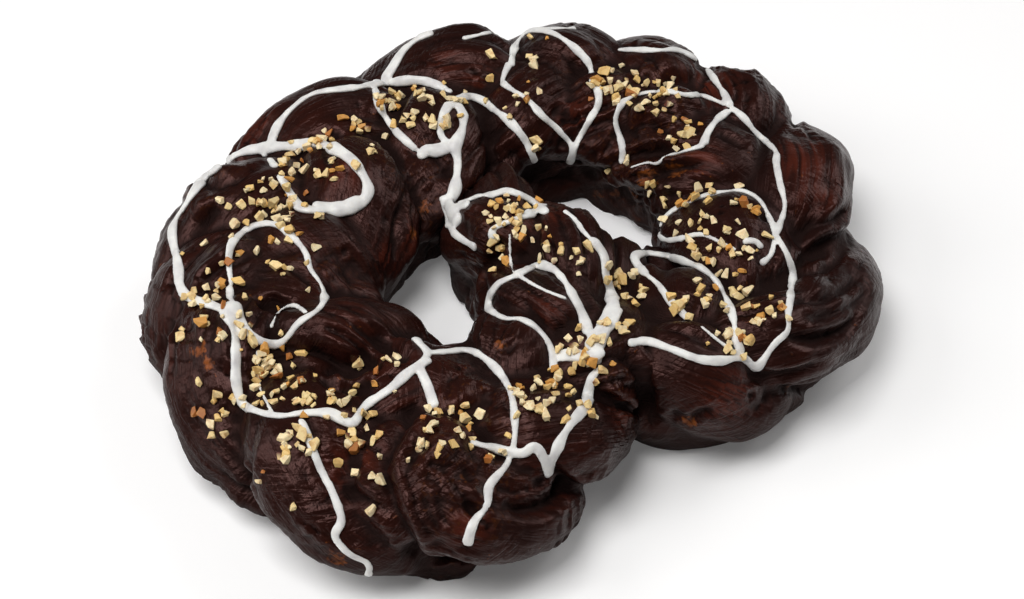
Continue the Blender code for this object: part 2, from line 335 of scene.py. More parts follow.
def nearest_rings(points):
    """For each point the nearest ring of all strands, and how much nearer it is than the next strand, in
    half widths. Distance squared = (dx2 + dy2) / width2 + dz2 / height2, multiplied out."""
    level, steep = 1 / all_widths**2, 1 / all_heights**2
    x, y, z = all_paths.T
    ring_numbers = np.stack([
        level, steep, -2 * x * level, -2 * y * level, -2 * z * steep, (x**2 + y**2) * level + z**2 * steep
    ])
    nearest, margin = [], []
    for start in range(0, len(points), BATCH):
        x, y, z = points[start:start + BATCH].T
        square = np.stack([x**2 + y**2, z**2, x, y, z, 0 * x + 1], axis=1) @ ring_numbers
        nearest.append(square.argmin(axis=1))
        each = np.sqrt(np.maximum(square.reshape(len(x), STRANDS, ROPE_STEPS).min(axis=2), 0))
        each.sort(axis=1)
        margin.append(each[:, 1] - each[:, 0])
    return np.concatenate(nearest), np.concatenate(margin)


def on_strand(points, ring):
    """Metres along the strand = the ring's length + the offset's part along the path. Metres round it = the
    angle from straight up, measured in half widths and half heights, x the mean radius."""
    offset = points - all_paths[ring]
    along = all_lengths[ring] + (offset * all_along[ring]).sum(axis=-1)
    sideways = (offset * all_across[ring]).sum(axis=-1) / all_widths[ring]
    upward = (offset * all_up[ring]).sum(axis=-1) / all_heights[ring]
    return along, np.arctan2(sideways, upward) * AROUND


skin = read_points(loaf.data)
skin_normal = read_points(loaf.data, "normal")
skin_ring, skin_margin = nearest_rings(skin)
skin_along, skin_round = on_strand(skin, skin_ring)
print("points on each strand:", np.bincount(skin_ring // ROPE_STEPS))

# %% [markdown]
# ## Unevenness
# Nothing on a hand-made pastry is even. Random numbers on a cubic lattice, blended smoothly between the
# corners, give bumps of any chosen size, and the same bumps each time. Each use has a seed of its own.
# Stretching the lattice along the strand turns bumps into wrinkles. Where two strands meet, the chocolate
# has filled the wrinkles, and a seam sinks between them, deep in some places and lost in others.

# %% Repeatable random bumps


def random_at(cells, seed):
    """A number from -1 to 1 for each whole-number cell: its coordinates are multiplied by large odd
    numbers, added, and the high bits are folded over the low ones."""
    mixed = (cells.astype(np.int64) * (374761393, 668265263, 2147483629)).sum(axis=-1) + seed * 1274126177
    mixed = (mixed ^ (mixed >> 13)) & 0xFFFFFFFF
    mixed = (mixed * 1103515245 + 12345) & 0xFFFFFFFF
    mixed = (mixed ^ (mixed >> 15)) & 0xFFFFFFFF
    mixed = (mixed * 668265263 + 374761393) & 0xFFFFFFFF
    return (mixed ^ (mixed >> 16)) / 2**31 - 1


def bumps(places, wave, seed):
    """Smooth random heights from -1 to 1: the eight corners of a place's cell, each weighted by
    the product of 3t2 - 2t3 or its rest along each axis."""
    scaled = places / wave
    cell = np.floor(scaled)
    t = scaled - cell
    t = t * t * (3 - 2 * t)
    total = 0
    for corner in np.ndindex(2, 2, 2):
        weight = np.where(corner, t, 1 - t).prod(axis=-1)
        total = total + weight * random_at(cell + corner, seed)
    return total


three_places = np.array([[0.2, 0.4, 0.6], [1.2, 0.4, 0.6], [2.2, 0.4, 0.6]])
print("bumps at three places:", bumps(three_places, 1, seed=0).round(2))

# %% Lumps, wrinkles and seams
LUMPS = ((34 * MM, 2.4 * MM), (17 * MM, 1.3 * MM), (8 * MM, 0.45 * MM))  # wave and height
# Wrinkles along the strands: wave along, wave round, height.
WRINKLES = (
    (46 * MM, 14 * MM, 2.8 * MM),
    (27 * MM, 7.0 * MM, 2.3 * MM),
    (15 * MM, 3.4 * MM, 0.9 * MM),
)
STRAND_WAVE = 0.37  # under 1, so that each strand's number gives it wrinkles of its own
FLOW = ((38 * MM, 7 * MM), (15 * MM, 2.2 * MM))  # how the wrinkles meander: wave and reach
WRINKLED_PATCH = 30 * MM  # the size of the patches in which the wrinkles come and go
FILLED = 0.12  # where two strands meet: how far the wrinkles are filled, in half widths of a strand
SEAM_REACH = 0.16  # and how far the seam reaches
SEAM_DEPTH = 2.4 * MM
SEAM_PATCH = 25 * MM  # the size of the patches in which the seams come and go

lumps = sum(high * bumps(skin, wave, seed) for seed, (wave, high) in enumerate(LUMPS))
meander = sum(reach * bumps(skin, wave, 9 + seed) for seed, (wave, reach) in enumerate(FLOW))
strand_places = np.column_stack([skin_along, skin_round + meander, skin_ring // ROPE_STEPS])
# Bumps folded over at zero make sharp furrows: height x (1.6 x |bumps| - 0.6).
wrinkles = sum(
    high * (1.6 * abs(bumps(strand_places, (wave_along, wave_round, STRAND_WAVE), 20 + seed)) - 0.6)
    for seed, (wave_along, wave_round, high) in enumerate(WRINKLES)
)
wrinkles *= np.clip(0.62 + 0.8 * bumps(skin, WRINKLED_PATCH, 31), 0.2, 1.1)
wrinkles *= np.clip(skin_margin / FILLED, 0, 1)
open_seam = np.clip(0.6 + bumps(skin, SEAM_PATCH, 33), 0, 1.3)
seams = -SEAM_DEPTH * np.exp(-(skin_margin / SEAM_REACH) ** 2) * open_seam
for name, heights in (("lumps", lumps), ("wrinkles", wrinkles), ("seams", seams)):
    print(name, "reach", round(abs(heights).max() / MM, 2), "mm")

# %% [markdown]
# ## Laying things on the crust
# Folds, icing and nuts are all placed by what the eye sees. Each is drawn on an imagined level sheet above
# the table, and a line from the eye through that point finds the crust under it. So a stroke drawn
# flat falls over the lobes as it should, and rests on them from every side.

# %% Throw a point from the sheet onto the crust
SHEET = 35  # millimetres above the table
DRAWN_DETAIL = 12  # points worked out for each drawn one
NEAR_MISS = 14 * MM  # how far from the crust a line may pass and still be bent to it
STEEP = 0.2  # the normal's upward part, below which a wall is too steep to catch a near miss
LEAP = 13 * MM  # a longer step on the crust is a gap
SHORTEST_RUN = 5  # points, one every millimetre of the sheet


def tree_of(piece):
    """The piece's faces, sorted so that a line's first hit is found fast."""
    bpy.context.view_layer.update()
    return BVHTree.FromObject(piece, bpy.context.evaluated_depsgraph_get())


def thrown(tree, x, y):
    """The first place on the crust on the line from the eye through (x, y) on the sheet, and its normal."""
    sight = Vector(placed(x, y, SHEET) - EYE).normalized()
    place, normal, _, _ = tree.ray_cast(Vector(EYE), sight)
    return place, normal


def even_path(path, step):
    """The same path with a point every step: its points are read off at equal lengths."""
    lengths = path_lengths(path)
    at = np.linspace(0, lengths[-1], max(4, round(lengths[-1] / step) + 1))
    return np.column_stack([np.interp(at, lengths, column) for column in path.T])


def softened(values, reach):
    """Each row replaced by the mean of the rows up to reach away, with the ends repeated."""
    padded = np.pad(values, ((reach, reach), (0, 0)), mode="edge")
    return sum(padded[k:k + len(values)] for k in range(2 * reach + 1)) / (2 * reach + 1)


def landed(tree, x, y):
    """Where the point lands. A line that just misses the crust is bent to the nearest upward place."""
    place, _ = thrown(tree, x, y)
    if place is None:
        place, normal, *_ = tree.find_nearest(Vector(placed(x, y, SHEET)), NEAR_MISS)
        if place is None or normal.z < STEEP:
            return None
    return place


def laid(tree, stroke, step):
    """A drawn stroke on the crust as one or more runs, parted where it leaps over a gap. Each run is its
    points, one every step, and the crust's normals there."""
    runs = [[]]
    for x, y in even_path(smooth_rows(stroke, DRAWN_DETAIL * len(stroke)), 1):
        place = landed(tree, x, y)
        if place is None:
            continue
        if runs[-1] and (place - runs[-1][-1]).length > LEAP:
            runs.append([])
        runs[-1].append(place)
    laid_runs = []
    for run in runs:
        if len(run) >= SHORTEST_RUN:
            hits = [tree.find_nearest(Vector(point)) for point in even_path(np.array(run), step)]
            laid_runs.append((np.array([hit[0] for hit in hits]), np.array([hit[1] for hit in hits])))
    return laid_runs


loaf_tree = tree_of(loaf)
print("the middle of the sheet falls on", thrown(loaf_tree, 12, -4)[0])

# %% [markdown]
# ## Folds and creases
# Where the dough was tucked and the chocolate ran, there are deep creases with a swollen lip on one side,
# and here and there a thin raised line. Each is a short stroke. Points near it sink by a bell curve of
# their distance from the stroke, and rise a little further off. A negative depth makes a raised line. The
# wall of one hole also draws back, by a bell curve of the distance from a place in the air of the hole.

# %% Draw the folds
# Depth and half width in millimetres, then the points of the stroke on the sheet.
FOLDS = (
    (5.5, 3.0, ((-92, 7), (-89, 0), (-86, -6), (-82, -12), (-76, -13))),
    (4.5, 2.8, ((-94, -12), (-90, -18), (-85, -23), (-77, -25))),
    (5.0, 3.2, ((-73, 6), (-66, -3), (-61, -11), (-58, -21))),
    (3.0, 2.4, ((-83, 8), (-77, -1), (-73, -10), (-70, -20))),
    (4.0, 2.6, ((-42, -8), (-36, -13), (-33, -21), (-32, -27))),
    (3.6, 2.8, ((-108, -71), (-104, -79), (-100, -85), (-97, -92))),
    (5.5, 4.2, ((-62, -42), (-72, -51), (-81, -58), (-88, -65), (-92, -73), (-92, -83))),
    (5.0, 3.8, ((-88, -68), (-92, -81), (-94, -94), (-95, -109), (-93, -122))),
    (2.8, 3.0, ((-62, -62), (-72, -66), (-82, -76), (-84, -90))),
    (4.2, 2.6, ((-67, -83), (-67, -90), (-66, -100), (-64, -113))),
    (6.5, 3.4, ((-52, -104), (-48, -111), (-41, -113), (-33, -112), (-25, -108))),
    (4.0, 2.4, ((-52, -97), (-46, -103), (-40, -105), (-32, -103))),
    (2.4, 3.0, ((-128, -27), (-134, -39), (-140, -50), (-143, -65), (-142, -77))),
    (3.8, 2.6, ((-101, 38), (-97, 31), (-92, 27))),
    (4.2, 3.2, ((-23, 64), (-30, 56), (-36, 44), (-42, 34))),
    (4.6, 3.0, ((62, 42), (72, 48), (87, 48), (101, 46), (115, 43))),
    (3.2, 2.4, ((81, 36), (96, 35), (112, 31))),
    (5.0, 3.6, ((88, 64), (97, 68), (103, 63), (107, 55))),
    (3.4, 2.2, ((127, 47), (130, 41), (133, 34))),
    (2.4, 2.0, ((170, 52), (166, 42), (160, 34))),
    (5.0, 2.8, ((156, -22), (146, -25), (139, -25), (129, -26))),
    (4.6, 2.8, ((92, -74), (99, -81), (106, -84), (116, -84), (125, -80))),
    (3.0, 2.6, ((115, -44), (123, -47), (134, -46), (145, -41))),
    (3.0, 2.6, ((106, -60), (115, -64), (126, -64), (139, -60))),
    (2.6, 2.6, ((105, -68), (113, -72), (124, -73), (136, -70))),
    (2.6, 2.6, ((66, -87), (75, -93), (84, -96), (95, -95))),
    (5.5, 3.4, ((30, -52), (26, -70), (22, -83), (18, -97))),
    (3.6, 2.2, ((6, -72), (11, -80), (16, -85), (23, -85))),
    (3.0, 2.2, ((14, -64), (18, -72), (22, -77))),
    (2.4, 2.2, ((31, -100), (39, -98), (46, -99))),
    (4.0, 2.6, ((-28, -95), (-28, -104), (-25, -113))),
    (2.0, 1.7, ((-84, -87), (-86, -97), (-86, -109))),
    (2.0, 1.7, ((-80, -90), (-82, -99), (-81, -108))),
    (2.0, 1.7, ((-76, -93), (-78, -101), (-77, -109))),
    (2.6, 2.8, ((-111, 89), (-104, 95), (-98, 97))),
    (3.0, 2.4, ((-84, 53), (-80, 45), (-79, 34))),
    (2.4, 3.0, ((2, 93), (3, 81), (3, 70))),
    (2.6, 3.0, ((33, 78), (36, 69), (37, 57))),
    (2.6, 2.6, ((68, 92), (70, 83), (69, 74))),
    (2.6, 2.8, ((143, 93), (144, 80), (144, 67))),
    (2.4, 2.4, ((47, -52), (55, -60), (61, -72))),
    (3.6, 2.8, ((6, 26), (-3, 16), (-12, 5))),
    (2.8, 2.4, ((-1, -10), (1, -21), (0, -33))),
    (2.4, 2.4, ((-35, 125), (-31, 115), (-22, 113))),
    (-1.1, 1.3, ((-10, 99), (-12, 88), (-19, 76), (-26, 67), (-32, 57))),
    (-1.0, 1.2, ((-17, 103), (-19, 90), (-24, 76))),
    (-1.1, 1.3, ((-58, 67), (-55, 54), (-53, 42), (-54, 31))),
    (-1.0, 1.3, ((-142, 44), (-145, 28), (-148, 13))),
    (-1.0, 1.2, ((-130, -27), (-138, -37), (-142, -46))),
    (-1.0, 1.2, ((-32, 42), (-40, 33), (-49, 23))),
)
print(len(FOLDS), "folds, of which", sum(depth < 0 for depth, _, _ in FOLDS), "stand up")

# %% Press the folds in
LIP = 0.42  # the lip's height, as a share of the depth
LIP_PLACE = 1.8  # its distance from the stroke and its width, in the fold's half widths
LIP_WIDTH = 0.8
FOLD_REACH = 4  # half widths, beyond which a fold moves nothing
FOLD_STEP = 1 * MM


def pressed(points, depth, half_width, stroke):
    """How far each point moves along its normal: -depth x exp(-(d / w) to the 1.4), plus a lip at its own
    distance, high on the stroke's left and low on its right. Both fade out toward the stroke's ends."""
    runs = laid(loaf_tree, stroke, FOLD_STEP)
    push = np.zeros(len(points))
    if not runs:
        return push
    path = softened(max(runs, key=lambda run: len(run[0]))[0], 2)
    low, high = path.min(axis=0) - FOLD_REACH * half_width, path.max(axis=0) + FOLD_REACH * half_width
    near = np.flatnonzero(np.all((points > low) & (points < high), axis=1))
    gaps = points[near, None] - path
    square = (gaps**2).sum(axis=-1)
    nearest = square.argmin(axis=1)
    distance = np.sqrt(square.min(axis=1)) / half_width
    rows = np.arange(len(near))
    along = unit(np.gradient(path, axis=0))[nearest]
    gap = gaps[rows, nearest]
    left = np.sign(along[:, 0] * gap[:, 1] - along[:, 1] * gap[:, 0])
    fade = np.sqrt(np.sin(math.pi * (nearest + 0.5) / len(path)))
    lip = LIP * (0.65 + 0.35 * left) * np.exp(-((distance - LIP_PLACE) / LIP_WIDTH) ** 2) * (depth > 0)
    push[near] = depth * fade * (lip - np.exp(-distance**1.4))
    return push


# Places where the wall of a hole draws back: x, y, level, radius and depth in millimetres on the table.
DRAWN_BACK = ((60, 56, 14, 21, 7.5), (44, 60, 14, 16, 5))


def drawn_back(points, x, y, level, radius, depth):
    """-depth x exp(-(distance / radius) to the 4), which is a bell curve with a flat top."""
    away = np.linalg.norm(points - placed(x, y, level), axis=1) / (radius * MM)
    return -depth * MM * np.exp(-away**4)


folds = sum(pressed(skin, depth * MM, half_width * MM, stroke) for depth, half_width, stroke in FOLDS)
folds += sum(drawn_back(skin, *place) for place in DRAWN_BACK)
print("the folds sink by up to", round(-folds.min() / MM, 1), "mm")

# %% [markdown]
# ## Torn places, pits and blisters
# The inner side of the ring and a few lobes are torn, and the chocolate over them is craggy. Ridged bumps,
# which are the lattice bumps folded over at zero, give sharp furrows there. On two lobes the coat ran thick
# and smooth. Small burst bubbles are pits with a rim, some at known places and some scattered with a fixed
# seed.

# %% Draw the torn places and pits
# x, y and radius in millimetres on the table.
CRAGS = (
    (-12, 66, 18),
    (98, 62, 20),
    (84, 88, 14),
    (157, 72, 16),
    (-106, 92, 14),
    (-68, -104, 18),
    (-44, -72, 16),
    (-14, 10, 14),
    (84, 44, 22),
    (-74, 22, 12),
    (12, -82, 10),
)
CRAG_FADE = 1.5  # radii at which a torn place ends
SMOOTH_LOBES = ((38, -97, 24), (-104, -100, 18))
SMOOTH_FADE = 1.3
CRAG_RIDGES = ((20 * MM, 3.2 * MM), (9 * MM, 1.3 * MM), (4.5 * MM, 0.5 * MM))  # wave and depth
# x, y on the sheet, and radius.
PITS = (
    (30, -95, 2.8), (63, -99, 2.4), (77, -102, 2.2), (-135, 36, 2.2), (-99, 34, 3.4), (-95, 28, 2.6),
    (43, 134, 2.4), (-17, -32, 3.0), (121, -9, 3.0), (-62, -87, 3.4), (-64, -106, 2.6), (48, 12, 2.0),
    (101, -21, 2.2), (-58, 49, 1.8), (-45, 122, 2.2), (-15, 138, 1.6), (94, 3, 2.0), (112, -82, 1.8),
    (-90, -119, 2.0), (-114, -76, 1.8), (-137, -6, 2.0), (-133, 64, 2.4),
)
print(len(CRAGS), "torn places,", len(SMOOTH_LOBES), "smooth lobes and", len(PITS), "pits")

# %% Tear and pit the crust
SPOT_CORE = 0.75  # share of a spot's radius that it fills wholly
STRAY_PITS = 60
STRAY_RADIUS = (0.9, 1.8)  # millimetres
draw = np.random.default_rng(5)


def near_any(points, spots, reach):
    """1 in any spot's core, falling in a straight line to 0 at reach times its radius, from above."""
    flat = points[:, :2]
    nearness = np.zeros(len(points))
    for x, y, radius in spots:
        away = np.linalg.norm(flat - placed(x, y, 0)[:2], axis=1) / (radius * MM)
        nearness = np.maximum(nearness, np.clip((reach - away) / (reach - SPOT_CORE), 0, 1))
    return nearness


torn = near_any(skin, CRAGS, CRAG_FADE)
# Ridges stand and furrows sink: depth x (2 x |bumps| - 0.75).
crags = -sum(
    deep * (0.75 - 2 * abs(bumps(skin, wave, 40 + seed))) for seed, (wave, deep) in enumerate(CRAG_RIDGES)
)
crags *= torn

pit_hits = [(thrown(loaf_tree, x, y)[0], radius * MM) for x, y, radius in PITS]
pit_places = [(np.array(hit), radius) for hit, radius in pit_hits if hit is not None]
strays = skin[draw.choice(len(skin), STRAY_PITS, replace=False)]
pit_places += [(place, draw.uniform(*STRAY_RADIUS) * MM) for place in strays]
pits = np.zeros(len(skin))
# A pit's height = radius x (0.15 of a bell curve round 1.5 radii, less 0.75 of one round its middle).
for place, radius in pit_places:
    near = np.flatnonzero(np.linalg.norm(skin - place, axis=1) < 3 * radius)
    ragged = 1 + 0.5 * bumps(skin[near], 1.6 * radius, 55)
    away = np.linalg.norm(skin[near] - place, axis=1) / radius * ragged
    pits[near] += radius * (0.15 * np.exp(-((away - 1.5) / 0.5) ** 2) - 0.75 * np.exp(-away**2))
print(len(pit_places), "pits; torn share of the skin", round(torn.mean(), 3))

# %% [markdown]
# ## Baked on a tray
# All the movements are added along the normals. The tray then cuts the underside flat: a Boolean with a
# block, because flattening the points by hand would fold faces over each other. Last, triangles are taken
# out where the skin is flat, mostly underneath, to keep the piece light. The chocolate is thickest on the
# sides, where it ran down.

# %% Finish the loaf
LOAF_TRIANGLES = 190000
COAT = 0.9 * MM  # the chocolate's own thickness on the sides
coat = COAT * (1 - 0.8 * np.clip(skin_normal[:, 2], 0, 1))
roughened = (wrinkles + seams + crags) * (1 - 0.8 * near_any(skin, SMOOTH_LOBES, SMOOTH_FADE))
swollen = coat + lumps + roughened + folds + pits
loaf.data.vertices.foreach_set("co", (skin + skin_normal * swollen[:, None]).ravel())
worked(loaf, ("SMOOTH", {"factor": 0.4, "iterations": 1}))


def block(name, low, high):
    """A box from its lowest to its highest corner."""
    corners = np.where(np.array(list(np.ndindex(2, 2, 2))), high, low)
    sides = [(0, 1, 3, 2), (4, 6, 7, 5), (0, 4, 5, 1), (2, 3, 7, 6), (0, 2, 6, 4), (1, 5, 7, 3)]
    return piece_from(name, corners, sides)


def thinned(piece, triangles):
    """Takes out triangles where the piece is flattest, until this many are left, and shades it smooth."""
    piece.data.calc_loop_triangles()
    share = triangles / len(piece.data.loop_triangles)
    worked(piece, ("DECIMATE", {"ratio": min(1, share), "use_collapse_triangulate": True}))
    piece.data.shade_smooth()


tray = block("tray", (-0.5, -0.5, -0.5), (0.5, 0.5, 0))
worked(loaf, ("BOOLEAN", {"operation": "DIFFERENCE", "object": tray, "solver": "MANIFOLD"}))
bpy.data.objects.remove(tray)
thinned(loaf, LOAF_TRIANGLES)
skin = read_points(loaf.data)
loaf_size = (np.ptp(skin, axis=0) / MM).round(1)
print("the loaf has", len(loaf.data.polygons), "triangles and is", loaf_size, "mm")

# %% [markdown]
# ## Marks that the chocolate follows
# The finish needs to know where it is: brush marks run along the strands, the coat is thin on some lobes
# and in odd patches, and crumb shows where the crust is torn. A UV map holds metres along and round the
# strand for each corner of each face. Attributes hold the thin, the bare and the torn places, the small
# hollows, and the shaded places, which are the grooves between lobes and the foot of the wall. The last two
# get painted shade in the coat's colour.

# %% Draw the thin and bare places
# x, y on the sheet, and radius in millimetres: lobes where the coat is thin and reddish.
THIN_PLACES = (
    (43, 127, 11), (35, 145, 9), (138, 76, 12), (153, 11, 12), (148, -8, 9), (156, 21, 9), (-39, 95, 8),
    (71, 83, 8), (51, 58, 8), (111, 34, 9), (26, 27, 7), (6, -20, 7), (159, 89, 9), (-67, 139, 8),
    (-101, -65, 9), (9, -85, 8), (53, -97, 10), (-39, -21, 7), (-70, -112, 8), (-43, 39, 8), (-28, 46, 8),
)
# The same, for spots where the brown crust shows through.
BARE_PLACES = (
    (-136, 20, 5), (-134, 12, 3.5), (-133, -95, 6), (-122, -103, 5), (33, -100, 4.5), (-16, 59, 4),
    (73, 30, 8), (84, 33, 7), (98, 34, 7), (-20, -30, 3), (-62, -88, 3), (-64, -106, 3), (77, -101, 2.5),
    (58, 34, 4), (-75, 140, 3), (-27, 47, 4), (66, 30, 4),
)
print(len(THIN_PLACES), "thin and", len(BARE_PLACES), "bare places")

# %% Mark the skin
# Rounds of averaging, and the depth that counts as full, for a small hollow and for a groove between lobes,
# which get painted shade.
HOLLOW = (6, 0.30 * MM)
GROOVE = (45, 1.5 * MM)
FOOT = 34 * MM  # the wall is dull and painted dark, as painted shade, below about this height
STRANDS_APART = 1.7  # metres between two strands on the UV map
THIN_PATCH = 40 * MM  # the size of the odd patches


def map_along_strands(mesh):
    """UV for each corner = (metres along, metres round) measured from the ring nearest to the face's
    middle, so that a face never spans two strands. The angle is unwound to the nearest turn of the face's
    first corner. Strands are set apart along the first axis, so that their marks differ."""
    corner = np.empty(len(mesh.loops), dtype=np.int32)
    mesh.loops.foreach_get("vertex_index", corner)
    corners = skin[corner].reshape(-1, 3, 3)
    ring, _ = nearest_rings(corners.mean(axis=1))
    along, around = on_strand(corners, np.repeat(ring[:, None], 3, axis=1))
    full_turn = 2 * math.pi * AROUND
    around += full_turn * np.round((around[:, :1] - around) / full_turn)
    shifted = along + (ring // ROPE_STEPS)[:, None] * STRANDS_APART
    layer = mesh.uv_layers.new(name="along_strands")
    layer.data.foreach_set("uv", np.stack([shifted, around], axis=-1).ravel())


def spots(tree, places, points):
    """1 in the middle of a thrown spot, falling off as a bell curve of the distance over its radius."""
    nearness = np.zeros(len(points))
    for x, y, radius in places:
        middle, _ = thrown(tree, x, y)
        if middle is not None:
            away = np.linalg.norm(points - np.array(middle), axis=1) / (radius * MM)
            nearness = np.maximum(nearness, np.exp(-away**2))
    return nearness


def sunk(mesh, rounds, full):
    """How far each point lies below the mean of its surroundings, from 0 to 1 at the full depth: the mean
    is found by moving every point half way to the middle of its neighbours, again and again."""
    ends = np.empty(2 * len(mesh.edges), dtype=np.int32)
    mesh.edges.foreach_get("vertices", ends)
    one, other = ends.reshape(-1, 2).T
    neighbours = np.bincount(ends, minlength=len(skin))
    middle = skin.copy()
    for _ in range(rounds):
        total = [
            np.bincount(one, middle[other, k], len(skin)) + np.bincount(other, middle[one, k], len(skin))
            for k in range(3)
        ]
        middle = (middle + np.array(total).T / neighbours[:, None]) / 2
    return np.clip(((middle - skin) * read_points(mesh, "normal")).sum(axis=1) / full, 0, 1)


def mark(mesh, name, values):
    """Stores one number for each vertex."""
    mesh.attributes.new(name, "FLOAT", "POINT").data.foreach_set("value", values.astype(np.float32))


loaf_tree = tree_of(loaf)
map_along_strands(loaf.data)
thin = spots(loaf_tree, THIN_PLACES, skin) + 0.35 * bumps(skin, THIN_PATCH, 61)
mark(loaf.data, "thin_coat", np.clip(thin, 0, 1))
mark(loaf.data, "bare_crust", spots(loaf_tree, BARE_PLACES, skin))
mark(loaf.data, "torn", near_any(skin, CRAGS, CRAG_FADE))
# hollow and shaded say where the coat gets painted shade: small hollows, grooves between lobes, the foot of
# the wall
mark(loaf.data, "hollow", sunk(loaf.data, *HOLLOW))
steepness = np.clip(1 - 1.5 * read_points(loaf.data, "normal")[:, 2], 0, 1)
foot = np.clip(1.2 - skin[:, 2] / FOOT, 0, 1) * steepness
mark(loaf.data, "shaded", np.maximum(foot, sunk(loaf.data, *GROOVE)))
print("thin coat on", round((thin > 0.4).mean(), 3), "of the skin")

# %% [markdown]
# ## Icing
# White icing is drizzled from a spoon. A thread is flat below and round above, thicker where the hand
# slowed, and where threads cross they run together. Each stroke is an ellipse carried along its path on the
# crust, its width wandering a little. All strokes are then fused by a voxel remesh, which makes the puddles
# by itself.

